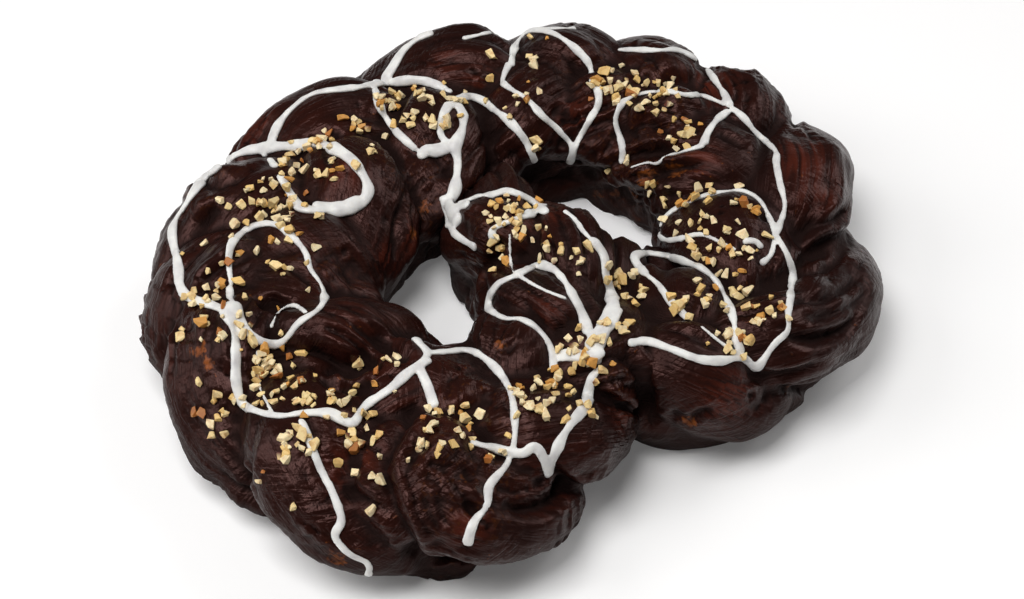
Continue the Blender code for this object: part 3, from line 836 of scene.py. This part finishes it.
# %% Draw the icing
# Width in millimetres, then the points of the stroke on the sheet.
ICING = (
    (4.2, ((-100, 117), (-112, 105), (-122, 93), (-126, 75), (-130, 55), (-124, 45), (-118, 38))),
    (4.2, ((-118, 38), (-118, 25), (-122, 12), (-127, -3), (-128, -16), (-118, -27), (-108, -30),
           (-98, -35), (-92, -44), (-85, -38), (-70, -33), (-60, -28), (-50, -25))),
    (4.9, ((-90, 122), (-78, 127), (-65, 125), (-50, 120), (-42, 116), (-36, 108), (-33, 95), (-34, 80),
           (-42, 72), (-50, 73), (-65, 80), (-67, 92), (-67, 105))),
    (4.2, ((-68, 125), (-67, 112))),
    (4.4, ((-100, 117), (-90, 122))),
    (4.9, ((-63, 127), (-55, 138), (-45, 146), (-32, 151), (-15, 147), (0, 144), (15, 140), (22, 133),
           (26, 125))),
    (4.0, ((-5, 143), (-8, 130), (-8, 115), (-6, 103), (-4, 95))),
    (5.1, ((1, 145), (8, 152), (18, 162), (28, 167), (36, 168))),
    (6.6, ((-61, 80), (-54, 75), (-46, 73), (-39, 76))),
    (5.4, ((-2, 95), (3, 91), (10, 89))),
    (7.0, ((-4, 62), (-5, 52), (-5, 44))),
    (5.4, ((-5, 52), (2, 52))),
    (6.2, ((-114, 39), (-115, 30), (-116, 21))),
    (6.0, ((-1, -47), (6, -49), (11, -52), (18, -51))),
    (3.5, ((-110, 50), (-107, 62), (-103, 72), (-95, 78), (-88, 80), (-80, 77), (-76, 68), (-74, 55),
           (-76, 45), (-75, 35), (-77, 25), (-83, 20), (-92, 17), (-98, 12), (-105, 10), (-112, 18),
           (-113, 30), (-113, 42), (-111, 50))),
    (1.9, ((-103, 20), (-97, 27), (-90, 28), (-87, 22))),
    (1.4, ((-113, 10), (-116, 0), (-119, -10), (-119, -25))),
    (4.0, ((-5, 90), (0, 92), (10, 92))),
    (4.7, ((25, 117), (25, 108), (20, 98), (13, 90), (10, 80), (5, 70), (0, 62), (-8, 55))),
    (4.0, ((22, 118), (15, 110), (10, 100), (11, 92))),
    (3.7, ((17, 112), (25, 118), (33, 118), (38, 112), (40, 105), (43, 95), (44, 82), (43, 72), (42, 66))),
    (3.7, ((60, 132), (52, 122), (53, 115), (57, 105), (58, 92), (61, 80), (62, 68), (56, 58))),
    (4.0, ((56, 58), (65, 68), (75, 78), (85, 87), (90, 97), (91, 105))),
    (3.3, ((60, 130), (66, 140), (75, 148), (82, 149), (89, 143), (93, 132), (95, 118), (93, 110))),
    (3.0, ((48, 158), (60, 157), (72, 154), (83, 149), (92, 146), (100, 142))),
    (3.3, ((112, 119), (120, 115), (130, 110), (138, 106), (143, 95), (144, 82), (143, 70), (141, 60))),
    (3.0, ((77, 47), (82, 55), (85, 65), (88, 75), (95, 83), (103, 86), (112, 85), (120, 82), (125, 77),
           (133, 72), (140, 62))),
    (2.6, ((80, 43), (88, 43), (92, 40), (98, 43), (107, 42), (117, 42))),
    (3.7, ((117, 42), (122, 48), (130, 54), (139, 58))),
    (3.3, ((141, 60), (143, 50), (143, 38), (145, 25), (141, 17), (136, 5), (131, -8), (122, -18),
           (118, -22))),
    (3.3, ((118, -22), (116, -35), (112, -47), (105, -57), (98, -67), (94, -74), (85, -78), (75, -85),
           (71, -87))),
    (3.5, ((71, -87), (69, -79), (60, -77), (52, -72), (45, -63), (38, -55), (30, -52))),
    (3.7, ((103, -35), (110, -32), (118, -22))),
    (3.3, ((118, -22), (121, -10), (122, 0), (118, 8), (110, 11), (100, 12), (88, 11), (78, 7), (72, 0),
           (73, -5), (80, -7))),
    (2.6, ((80, -7), (88, -8), (93, -15), (97, -23))),
    (2.8, ((103, -20), (108, -22), (108, -27))),
    (3.7, ((55, -20), (54, -9), (60, -8), (67, -13), (73, -18), (78, -27), (80, -37), (79, -48), (76, -60),
           (72, -68), (70, -77))),
    (3.0, ((55, -20), (57, -28), (57, -38), (59, -50))),
    (2.1, ((62, -57), (65, -68), (68, -77))),
    (4.0, ((-5, 62), (-8, 50), (-10, 40), (-8, 33), (-5, 27))),
    (3.6, ((0, 54), (8, 55), (16, 53), (22, 53), (27, 47), (30, 40), (32, 33))),
    (4.0, ((5, 28), (5, 33), (15, 35), (25, 35), (33, 37))),
    (1.6, ((12, 28), (5, 12), (3, 3))),
    (4.0, ((-5, -52), (-1, -40), (-2, -28), (-6, -20), (-11, -18), (-15, -10), (-11, -3), (-5, 2), (3, 3))),
    (4.4, ((3, 3), (8, 4), (15, 5), (20, 0), (21, -10), (20, -20), (19, -30), (17, -40))),
    (2.1, ((5, 2), (10, -8), (17, -18))),
    (3.3, ((-3, -47), (3, -45), (10, -50))),
    (2.4, ((40, 30), (42, 23), (42, 16), (43, 8))),
    (5.8, ((43, 10), (43, -2), (39, -11), (36, -22), (33, -33))),
    (6.4, ((33, -30), (26, -38), (20, -44), (14, -49))),
    (5.0, ((19, -31), (18, -38), (17, -47))),
    (4.2, ((34, -33), (27, -40), (20, -43), (16, -50), (13, -57))),
    (4.2, ((13, -60), (8, -62), (3, -68), (-2, -75), (-10, -80), (-18, -86), (-25, -93), (-31, -101))),
    (4.0, ((-31, -101), (-29, -90), (-30, -84), (-35, -87), (-45, -80), (-52, -73))),
    (3.3, ((-48, -22), (-40, -25), (-32, -28), (-28, -35), (-26, -45), (-27, -58), (-32, -72), (-38, -83))),
    (3.7, ((-38, -83), (-45, -90), (-55, -96), (-60, -105), (-68, -110), (-74, -118))),
    (3.7, ((-51, -11), (-50, -16), (-49, -22), (-55, -27), (-56, -38), (-58, -50))),
    (3.7, ((-110, -33), (-111, -45), (-112, -60), (-112, -75), (-114, -88), (-119, -92), (-117, -103),
           (-112, -110), (-114, -115))),
)
icing_widths = [width for width, _ in ICING]
print(len(ICING), "strokes,", min(icing_widths), "to", max(icing_widths), "mm wide")

# %% Lay the icing
ICING_VOXEL = 0.55 * MM
ICING_TRIANGLES = 130000
ICING_FLATNESS = 0.52  # height over half width
ICING_LIFT = 0.25  # how far the thread's middle lies above the crust, in half widths
ICING_SIDES = 14
ICING_STEP = 0.8 * MM
WIDTH_WANDER = ((8 * MM, 0.32), (3 * MM, 0.09))  # wave and share of the width
RUN_ON = 1.4  # millimetres added at each end of a stroke


def run_on(stroke, by):
    """The stroke made longer by the same amount at both ends, so that it meets its neighbours."""
    stroke = np.array(stroke, float)
    start = stroke[0] - by * unit(stroke[1] - stroke[0])
    end = stroke[-1] + by * unit(stroke[-1] - stroke[-2])
    return np.vstack([start, stroke, end])


def icing_thread(path, normal, width, number):
    """An ellipse carried along the path, square to the crust, its half width = width / 2 x (1 + bumps along
    it), falling on a quarter circle at both ends."""
    path = softened(path, 3)
    normal = unit(softened(normal, 5))
    lengths = path_lengths(path)
    along = unit(np.gradient(path, axis=0))
    across = unit(np.cross(normal, along))
    half = width / 2
    wander = sum(
        share * bumps(np.column_stack([lengths, 0 * lengths + number, 0 * lengths]), (wave, 1, 1), 71)
        for wave, share in WIDTH_WANDER
    )
    to_end = np.clip(np.minimum(lengths, lengths[-1] - lengths) / half, 0, 1)
    round_end = np.sqrt(1 - (1 - to_end) ** 2) * 0.9 + 0.1
    half_width = half * (1 + wander) * round_end
    lifted = path + normal * (ICING_LIFT * half_width)[:, None]
    return tube(lifted, across, normal, half_width, half_width * ICING_FLATNESS, ICING_SIDES)


threads = [
    icing_thread(path, normal, width * MM, number)
    for number, (width, stroke) in enumerate(ICING)
    for path, normal in laid(loaf_tree, run_on(stroke, RUN_ON), ICING_STEP)
]
icing = piece_from("icing_drizzle", *joined_tubes(threads))
worked(
    icing,
    ("REMESH", {"mode": "VOXEL", "voxel_size": ICING_VOXEL}),
    ("SMOOTH", {"factor": 0.5, "iterations": 4}),
)
thinned(icing, ICING_TRIANGLES)
print(len(threads), "threads of icing,", len(icing.data.polygons), "triangles")

# %% [markdown]
# ## Chopped nuts
# A chopped nut is a chunk with flat cut sides and edges that are a little worn. A cube cut by a few random
# planes gives that, as the knife did. Some fourteen chunks are enough, because each is turned and sized at
# random.

# %% Shape a few chunks
CHUNKS = 14
CHUNK_CUTS = 6
CUT_DISTANCE = (0.5, 0.9)  # from the middle, in half sizes
EDGE_WEAR = 0.09  # how much of a corner is rubbed off, in half sizes
draw = np.random.default_rng(7)


def chunk():
    """Points and faces of a cube from -1 to 1, cut by random planes and with worn edges."""
    shape = bmesh.new()
    bmesh.ops.create_cube(shape, size=2)
    for _ in range(CHUNK_CUTS):
        outward = unit(draw.normal(size=3))
        bmesh.ops.bisect_plane(
            shape,
            geom=[*shape.verts, *shape.edges, *shape.faces],
            plane_co=outward * draw.uniform(*CUT_DISTANCE),
            plane_no=outward,
            clear_outer=True,
        )
        bmesh.ops.holes_fill(shape, edges=[edge for edge in shape.edges if edge.is_boundary])
    bmesh.ops.bevel(shape, geom=shape.edges[:], offset=EDGE_WEAR, segments=1, affect="EDGES")
    shape.verts.index_update()
    points = np.array([vertex.co for vertex in shape.verts])
    faces = [[vertex.index for vertex in face.verts] for face in shape.faces]
    shape.free()
    return points, faces


chunks = [chunk() for _ in range(CHUNKS)]
chunk_faces = [len(faces) for _, faces in chunks]
print(CHUNKS, "chunks of", min(chunk_faces), "to", max(chunk_faces), "faces")

# %% [markdown]
# ## Scattering the nuts
# Nuts were thrown on by the pinch, so they lie in clusters, most of them where the icing still held them.
# Each cluster has a middle, a reach and a count, and a seeded draw places its nuts. A nut lies on the crust
# or on the icing, whichever the line from the eye meets first, flat side down and slightly sunk. Where one
# has landed on another, it is lifted onto it.

# %% Say where they fell
# x, y and radius in millimetres on the sheet, and how many.
NUT_CLUSTERS = (
    (-122, 48, 10, 12), (-80, 92, 18, 27), (-50, 110, 18, 19), (-18, 115, 16, 9), (-3, 131, 8, 9),
    (15, 118, 18, 23), (72, 142, 20, 10), (98, 98, 13, 18), (115, 82, 14, 17), (110, 55, 12, 10),
    (85, 20, 10, 7), (100, 2, 22, 26), (18, 37, 15, 29), (25, 8, 14, 11), (45, -22, 12, 13),
    (75, -50, 20, 22), (68, -70, 9, 11), (92, -62, 9, 7), (10, -57, 9, 11), (-8, -57, 10, 10),
    (-20, -62, 10, 14), (-56, -62, 13, 20), (-105, 5, 11, 13), (-118, -12, 14, 21), (-100, -27, 12, 18),
    (-120, -42, 8, 6), (-90, -45, 9, 7), (53, 110, 16, 7), (-63, 104, 12, 6), (-72, 80, 14, 10),
    (-112, 71, 14, 6), (-81, 57, 14, 8), (-1, 20, 12, 6), (78, -17, 10, 5), (96, -26, 14, 10),
    (-98, 40, 18, 7), (-126, 26, 14, 12), (9, -43, 9, 9), (27, -45, 9, 8), (-74, -20, 14, 8),
    (-138, -14, 12, 7), (-7, -75, 10, 6), (-119, -43, 12, 6), (-98, -58, 14, 5), (-46, -77, 10, 4),
    (75, 44, 8, 2), (46, 79, 10, 2), (-141, 3, 2, 1), (-145, -18, 2, 1), (-140, -28, 3, 1),
    (-136, -52, 4, 2), (-130, -74, 2, 1), (-102, -88, 2, 1), (-94, -75, 2, 1), (-88, -65, 2, 1),
    (-97, -49, 4, 3), (-80, -69, 2, 1), (-71, -66, 3, 2),
)
print(len(NUT_CLUSTERS), "clusters of", sum(count for *_, count in NUT_CLUSTERS), "nuts")

# %% Scatter them
NUT_HALF_SIZE = np.array([1.95, 1.5, 1.2]) * MM
NUT_GRADES = (0.45, 0.85, 1.45)  # the finest, the commonest and the coarsest
NUT_UNEVEN = (0.8, 1.2)  # how much one side of a nut differs from another
NUT_SHARE = 1.4  # how many of each count are thrown, as some fall on others and roll off
NUT_SINK = 0.35  # share of the half thickness that is below the surface
NUT_TILT = 0.28
NUT_STEEP = 0.1  # the normal's upward part, below which a nut slides off
NUT_APART = 1.2 * MM  # a nut that lands nearer to another rolls off
NUT_PILE = 2.6 * MM  # and one nearer than this lies half on it


def first_surface(x, y):
    """Place and normal where the line from the eye first meets the crust or the icing."""
    hits = [hit for hit in (thrown(loaf_tree, x, y), thrown(icing_tree, x, y)) if hit[0] is not None]
    return min(hits, key=lambda hit: (hit[0] - Vector(EYE)).length) if hits else (None, None)


def turned_axes(normal, spin, tilt):
    """Three square directions, the third near the normal: the normal is tilted, and the first is square to
    it and to a random vector."""
    third = unit(np.array(normal) + tilt)
    first = unit(np.cross(third, spin))
    return np.stack([first, np.cross(third, first), third])


icing_tree = tree_of(icing)
nut_places, nut_axes, nut_sizes = [], [], []
for x, y, radius, count in NUT_CLUSTERS:
    for _ in range(round(count * NUT_SHARE)):
        angle = draw.uniform(0, 2 * math.pi)
        away = radius * math.sqrt(draw.random()) * draw.uniform(0.75, 1.25)
        spin, tilt = draw.normal(size=3), draw.normal(size=3) * NUT_TILT
        size = NUT_HALF_SIZE * draw.triangular(*NUT_GRADES) * draw.uniform(*NUT_UNEVEN, size=3)
        place, normal = first_surface(x + away * math.cos(angle), y + away * math.sin(angle))
        if place is None or normal.z < NUT_STEEP:
            continue
        lift = size[2] * (1 - NUT_SINK)
        if nut_places:
            gap = np.linalg.norm(np.array(nut_places) - np.array(place), axis=1).min()
            if gap < NUT_APART:
                continue
            lift += max(0, NUT_PILE - gap) * 0.5
        nut_places.append(np.array(place) + np.array(normal) * lift)
        nut_axes.append(turned_axes(normal, spin, tilt))
        nut_sizes.append(size)

nut_points, nut_faces, nut_number, nut_local = [], [], [], []
start = 0
for number, (place, axes, size) in enumerate(zip(nut_places, nut_axes, nut_sizes)):
    points, faces = chunks[draw.integers(CHUNKS)]
    nut_points.append(place + (points * size) @ axes)
    nut_faces += [[corner + start for corner in face] for face in faces]
    nut_number.append(np.full(len(points), number))
    nut_local.append(points)
    start += len(points)
nut_number, nut_local = np.concatenate(nut_number), np.concatenate(nut_local)
nuts = piece_from("chopped_nuts", np.concatenate(nut_points), nut_faces)
print(len(nut_places), "nuts,", len(nut_faces), "faces")

# %% [markdown]
# ## Colours
# Colours are picked as sRGB hex values, the way a screen shows them, and the renderer counts in linear
# light. One function turns the first into the second.

# %% Hex to linear


def linear(hex_colour):
    """Each channel c from 0 to 1 becomes ((c + 0.055) / 1.055) to the 2.4, or c / 12.92 near black."""
    channels = [int(hex_colour[k:k + 2], 16) / 255 for k in (1, 3, 5)]
    return [*(c / 12.92 if c <= 0.04045 else ((c + 0.055) / 1.055) ** 2.4 for c in channels), 1]


print("thick chocolate is", [round(value, 4) for value in linear("#25100c")])

# %% [markdown]
# ## Nut colours
# Blanched kernels are cream, the ones that saw more heat are golden, a few are toasted brown, and now and
# then a scrap of red-brown skin is left on one side. The colour is stored on the points, so one material
# serves all.

# %% Tint each nut
KERNEL_TINTS = ("#f0dcb0", "#ebd096", "#e3be79", "#d3984a", "#a8662c")
KERNEL_SHARES = (0.38, 0.30, 0.19, 0.09, 0.04)
SKIN_TINT = "#5a2413"
SKIN_SHARE = 0.07
SKIN_EDGE = 0.6  # how far from a nut's middle its skin begins, in half sizes
tints = np.array([linear(tint) for tint in KERNEL_TINTS])
nut_tint = tints[draw.choice(len(tints), size=len(nut_places), p=KERNEL_SHARES)]
nut_tint[:, :3] *= draw.uniform(0.88, 1.08, size=(len(nut_places), 1))
point_tint = nut_tint[nut_number]
skin_side = unit(draw.normal(size=(len(nut_places), 3)))
has_skin = draw.random(len(nut_places)) < SKIN_SHARE
under_skin = ((nut_local * skin_side[nut_number]).sum(axis=1) > SKIN_EDGE) & has_skin[nut_number]
point_tint[under_skin] = linear(SKIN_TINT)
colour_layer = nuts.data.color_attributes.new("kernel_tint", "FLOAT_COLOR", "POINT")
colour_layer.data.foreach_set("color", point_tint.ravel())
print(has_skin.sum(), "nuts keep a scrap of skin")

# %% [markdown]
# ## Materials
# Each material is a small tree of nodes. One helper adds a node, sets its properties and fills or links its
# inputs, which keeps each tree short enough to read.

# %% The node helper


def add_node(tree, kind, settings=None, inputs=None):
    """Adds a node. settings are its own properties. inputs are values, or (node, output) pairs to link."""
    new = tree.nodes.new(kind)
    for name, value in (settings or {}).items():
        setattr(new, name, value)
    for name, value in (inputs or {}).items():
        if isinstance(value, tuple) and isinstance(value[0], bpy.types.Node):
            tree.links.new(value[0].outputs[value[1]], new.inputs[name])
        else:
            new.inputs[name].default_value = value
    return new


def new_material(name, **shader_inputs):
    """A material with a Principled shader, and the uniform values set on the shader's own sockets."""
    material = bpy.data.materials.new(name)
    material.use_nodes = True
    shader = material.node_tree.nodes["Principled BSDF"]
    for key, value in shader_inputs.items():
        shader.inputs[key.replace("_", " ")].default_value = value
    return material, material.node_tree, shader


def dress(piece, material):
    """Gives the piece this one material, in place of any empty slot that a modifier left."""
    piece.data.materials.clear()
    piece.data.materials.append(material)


print("materials are made by add_node and new_material")

# %% [markdown]
# ### Dark couverture, poured and brushed
# Dark chocolate with a high share of cocoa butter, poured on warm and spread with a brush. It sets with a
# satin sheen, fine furrows along the strands where the bristles went, and a reddish tone where the coat is
# thin enough to let the crust through. In torn places the bread's brown crumb shows. The furrows are noise
# stretched along the UV map: bristle marks in patches, long streaks, and combed marks that cross them here
# and there. Bristle marks are about half a millimetre apart, drawn here at 1.2 mm, because finer ones would
# not show. Small hollows are painted nearly black, as painted shade for the little light that gets out of
# them. So are the grooves between lobes and the foot of the wall, which are dull as well.

# %% The coat's colours and marks
THICK_COAT = "#25100c"
DEEP_COAT = "#180a08"
THIN_COAT = "#4e2015"
# painted shade: near black for small hollows, grooves between lobes and the foot of the wall
PAINTED_SHADE = "#0c0504"
BARE_CRUST = "#7c4219"
TORN_CRUMB = "#41210d"
SHEEN_TINT = "#f2b8b0"
SATIN = (0.21, 0.42)  # roughness from the glossiest to the dullest place
SHADED_ROUGHNESS = 0.85
# Each set of marks: its length and spacing on the skin, in metres, its turn from the strand, in degrees,
# and the noise's detail and distortion.
BRISTLES = (24 * MM, 1.2 * MM, 0, 3.0, 0.3)
STREAKS = (30 * MM, 3.0 * MM, 4, 4.0, 0.9)
COMBED = (13 * MM, 2.9 * MM, 58, 2.0, 0.7)
BRISTLE_DEPTH = 0.4 * MM
STREAK_DEPTH = 0.9 * MM
COMBED_DEPTH = 1.3 * MM
GRAIN_DEPTH = 0.3 * MM
print("bristle marks every", BRISTLES[1] / MM, "mm,", BRISTLE_DEPTH / MM, "mm deep")

# %% Patterns and mixes


def marks_along(tree, skin_map, length, spacing, turn, detail, distortion):
    """Noise stretched along a direction on the skin. The mapping turns and divides, so its scale is in
    metres."""
    space = add_node(tree, "ShaderNodeMapping", {"vector_type": "TEXTURE"}, {
        "Vector": (skin_map, "UV"), "Rotation": (0, 0, math.radians(turn)), "Scale": (length, spacing, 1)})
    return add_node(tree, "ShaderNodeTexNoise", inputs={
        "Vector": (space, "Vector"), "Scale": 1.0, "Detail": detail, "Distortion": distortion})


def blotched(tree, place, wave, detail):
    """Even noise over the piece, with blotches of one size."""
    return add_node(tree, "ShaderNodeTexNoise", inputs={
        "Vector": (place, "Object"), "Scale": 1 / wave, "Detail": detail})


def stepped(tree, source, low, high, top=1.0, bottom=0.0):
    """bottom below low and top above high, with a straight line between."""
    return add_node(tree, "ShaderNodeMapRange", inputs={
        "Value": source, "From Min": low, "From Max": high, "To Min": bottom, "To Max": top}), "Result"


def times(tree, one, other):
    """The product of two sockets or numbers."""
    return add_node(tree, "ShaderNodeMath", {"operation": "MULTIPLY"}, {0: one, 1: other}), "Value"


def mixed(tree, share, below, above):
    """A colour between two others; each is a hex value or a socket."""
    below, above = (linear(colour) if isinstance(colour, str) else colour for colour in (below, above))
    return add_node(tree, "ShaderNodeMix", {"data_type": "RGBA"}, {"Factor": share, 6: below, 7: above}), 2


def link(tree, source, shader, name):
    """Feeds a (node, output) pair into one of the shader's sockets."""
    tree.links.new(source[0].outputs[source[1]], shader.inputs[name])


def raised(tree, height, distance, strength, below=None):
    """A bump of this height in metres, on top of another bump."""
    inputs = {"Height": height, "Strength": strength, "Distance": distance}
    if below:
        inputs["Normal"] = below
    return add_node(tree, "ShaderNodeBump", inputs=inputs), "Normal"


print("patterns: marks_along and blotched; mixes: stepped, times and mixed; relief: raised")

# %% Chocolate


def chocolate():
    """The coat's colour goes from thick to deep, thin, bare and torn, then to painted shade in hollows and
    shaded places, mix by mix.
    """
    material, tree, shader = new_material(
        "dark_couverture_brushed", IOR=1.45, Metallic=0.0, Specular_IOR_Level=0.3,
        Specular_Tint=linear(SHEEN_TINT),
    )
    skin_map = add_node(tree, "ShaderNodeUVMap", {"uv_map": "along_strands"})
    place = add_node(tree, "ShaderNodeTexCoord")
    marks = {
        name: (add_node(tree, "ShaderNodeAttribute", {"attribute_name": name}), "Fac")
        for name in ("thin_coat", "bare_crust", "torn", "hollow", "shaded")
    }
    bristles, streaks, combed = (
        marks_along(tree, skin_map, *settings) for settings in (BRISTLES, STREAKS, COMBED)
    )
    blotches = blotched(tree, place, 16 * MM, 4.0)
    patches = blotched(tree, place, 34 * MM, 1.0)
    grain = blotched(tree, place, 2.0 * MM, 5.0)

    coat = mixed(tree, stepped(tree, (blotches, "Fac"), 0.35, 0.7), THICK_COAT, DEEP_COAT)
    thinness = times(tree, stepped(tree, (streaks, "Fac"), 0.40, 0.62), marks["thin_coat"])
    coat = mixed(tree, thinness, coat, THIN_COAT)
    ragged = add_node(tree, "ShaderNodeMath", {"operation": "MULTIPLY_ADD"}, {
        0: times(tree, (grain, "Fac"), (streaks, "Fac")), 1: 3.2, 2: marks["bare_crust"]})
    coat = mixed(tree, stepped(tree, (ragged, "Value"), 1.35, 1.75), coat, BARE_CRUST)
    crumb = times(tree, stepped(tree, (grain, "Fac"), 0.55, 0.72, 0.9), marks["torn"])
    coat = mixed(tree, crumb, coat, TORN_CRUMB)
    # Painted shade: near black in small hollows, then in the grooves between lobes and at the foot of the
    # wall.
    painted_hollow_shade = times(tree, stepped(tree, (grain, "Fac"), 0.1, 0.5), marks["hollow"])
    coat = mixed(tree, painted_hollow_shade, coat, PAINTED_SHADE)
    coat = mixed(tree, times(tree, marks["shaded"], 0.85), coat, PAINTED_SHADE)
    link(tree, coat, shader, "Base Color")

    satin = stepped(tree, (blotches, "Fac"), 0.3, 0.7, SATIN[1], SATIN[0])
    duller = add_node(tree, "ShaderNodeMix", {"data_type": "FLOAT"}, {
        0: marks["shaded"], 2: satin, 3: SHADED_ROUGHNESS})
    link(tree, (duller, 0), shader, "Roughness")

    in_patches = times(tree, (combed, "Fac"), stepped(tree, (patches, "Fac"), 0.46, 0.58))
    brushed = times(tree, (bristles, "Fac"), stepped(tree, (blotches, "Fac"), 0.42, 0.56))
    bump = raised(tree, brushed, BRISTLE_DEPTH, 0.8)
    bump = raised(tree, (streaks, "Fac"), STREAK_DEPTH, 0.8, bump)
    bump = raised(tree, in_patches, COMBED_DEPTH, 0.8, bump)
    bump = raised(tree, (grain, "Fac"), GRAIN_DEPTH, 0.7, bump)
    link(tree, bump, shader, "Normal")
    return material


dress(loaf, chocolate())
print("chocolate has", len(loaf.active_material.node_tree.nodes), "nodes")

# %% [markdown]
# ### Sugar icing, drizzled
# Icing sugar stirred with a little water. It sets matt to satin and slightly see-through, so its thin edges
# look grey over the chocolate. A touch of subsurface scattering gives that, and a faint unevenness keeps
# the threads from looking like plastic.

# %% Icing
ICING_WHITE = "#e6e5e1"
ICING_GREY = "#ccc9c8"


def sugar_icing():
    """White with grey clouds at random, standing for thin icing, and faint ripples."""
    material, tree, shader = new_material(
        "sugar_icing_drizzled", Roughness=0.42, IOR=1.48, Subsurface_Weight=0.25, Subsurface_Scale=1.2 * MM,
        Subsurface_Radius=(1, 0.9, 0.8),
    )
    place = add_node(tree, "ShaderNodeTexCoord")
    clouds = blotched(tree, place, 7 * MM, 3.0)
    ripples = blotched(tree, place, 2.5 * MM, 2.0)
    tone = mixed(tree, stepped(tree, (clouds, "Fac"), 0.4, 0.7), ICING_WHITE, ICING_GREY)
    link(tree, tone, shader, "Base Color")
    link(tree, raised(tree, (ripples, "Fac"), 0.25 * MM, 0.5), shader, "Normal")
    return material


dress(icing, sugar_icing())
print("icing is", ICING_WHITE, "to", ICING_GREY)

# %% [markdown]
# ### Chopped almond and hazelnut, lightly toasted
# Cut nut flesh is matt and a little waxy. The tint comes from the points, and a fine noise darkens it
# unevenly, as toasting does. The cut faces have a grain of about a third of a millimetre, drawn at 0.9 mm
# so that it shows.

# %% Nuts
TOASTED = "#b98242"


def chopped_kernel():
    """The point's own tint, toasted in places, with a fine grain."""
    material, tree, shader = new_material(
        "nut_kernel_chopped", Roughness=0.58, IOR=1.47, Subsurface_Weight=0.12, Subsurface_Scale=1.0 * MM,
        Subsurface_Radius=(1, 0.7, 0.4),
    )
    tint = add_node(tree, "ShaderNodeAttribute", {"attribute_name": "kernel_tint"})
    place = add_node(tree, "ShaderNodeTexCoord")
    heat = blotched(tree, place, 2.6 * MM, 3.0)
    grain = blotched(tree, place, 0.9 * MM, 2.0)
    tone = mixed(tree, stepped(tree, (heat, "Fac"), 0.48, 0.74, 0.65), (tint, "Color"), TOASTED)
    link(tree, tone, shader, "Base Color")
    link(tree, raised(tree, (grain, "Fac"), 0.2 * MM, 0.6), shader, "Normal")
    return material


dress(nuts, chopped_kernel())
print("nut tints:", KERNEL_TINTS)

# %% [markdown]
# ## A plain studio
# The kringle lies on a plain white table of opal plastic. A softbox hangs high over it, two weaker ones
# stand to the left and to the right, and the room is dim, so that the chocolate keeps its depth. The table
# glows faintly, as if lit from below, which thins the shadows.

# %% Table, lights and room
TABLE_SIZE = 6
TABLE_WHITE = "#fbfafa"
TABLE_HAZE = "#f8f7f6"
TABLE_CLOUD = 1 / 1.5  # metres from one cloud of the haze to the next
TABLE_GLOW = 0.1
ROOM_WHITE = "#fbfaf8"
ROOM_LIGHT = 0.05
# Name, direction from the kringle (azimuth and elevation in degrees), distance and size in metres, watts.
SOFTBOXES = (
    ("softbox_above", (-75, 72), 1.6, 0.85, 18),
    ("softbox_left", (-110, 38), 1.7, 0.9, 10),
    ("softbox_right", (95, 42), 1.7, 0.9, 9),
)


def opal_table():
    """Nearly white plastic with a faint haze, which glows faintly, as if lit from below."""
    material, tree, shader = new_material(
        "opal_table_white", Roughness=0.6, IOR=1.5, Emission_Strength=TABLE_GLOW,
        Emission_Color=linear(TABLE_WHITE),
    )
    haze = blotched(tree, add_node(tree, "ShaderNodeTexCoord"), TABLE_CLOUD, 2.0)
    link(tree, mixed(tree, (haze, "Fac"), TABLE_WHITE, TABLE_HAZE), shader, "Base Color")
    return material


def softbox(name, angles, distance, size, power):
    """A square light at azimuth and elevation from the kringle, turned to face it."""
    light = bpy.data.lights.new(name, "AREA")
    light.size = size
    light.energy = power
    outward = direction(*angles)
    return facing_back(name, light, outward * distance, outward)


table_corners = np.array([[-1, -1, 0], [1, -1, 0], [1, 1, 0], [-1, 1, 0]]) * TABLE_SIZE / 2
table = piece_from("table", table_corners, [[0, 1, 2, 3]])
dress(table, opal_table())
lamps = [softbox(*settings) for settings in SOFTBOXES]
room = bpy.data.worlds.new("room")
room.use_nodes = True
background = room.node_tree.nodes["Background"].inputs
background["Color"].default_value = linear(ROOM_WHITE)
background["Strength"].default_value = ROOM_LIGHT
bpy.context.scene.world = room
bpy.context.scene.view_settings.view_transform = "Standard"  # colours show as they were picked
print(len(lamps), "softboxes and a room of strength", ROOM_LIGHT)

# %% [markdown]
# ## Attach the pieces
# All three pieces stand for the one solid of the CAD model and ride on its only body.

# %% Attach the pieces and finish
for piece in (loaf, icing, nuts):
    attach(piece, "root")
    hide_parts("kringle")
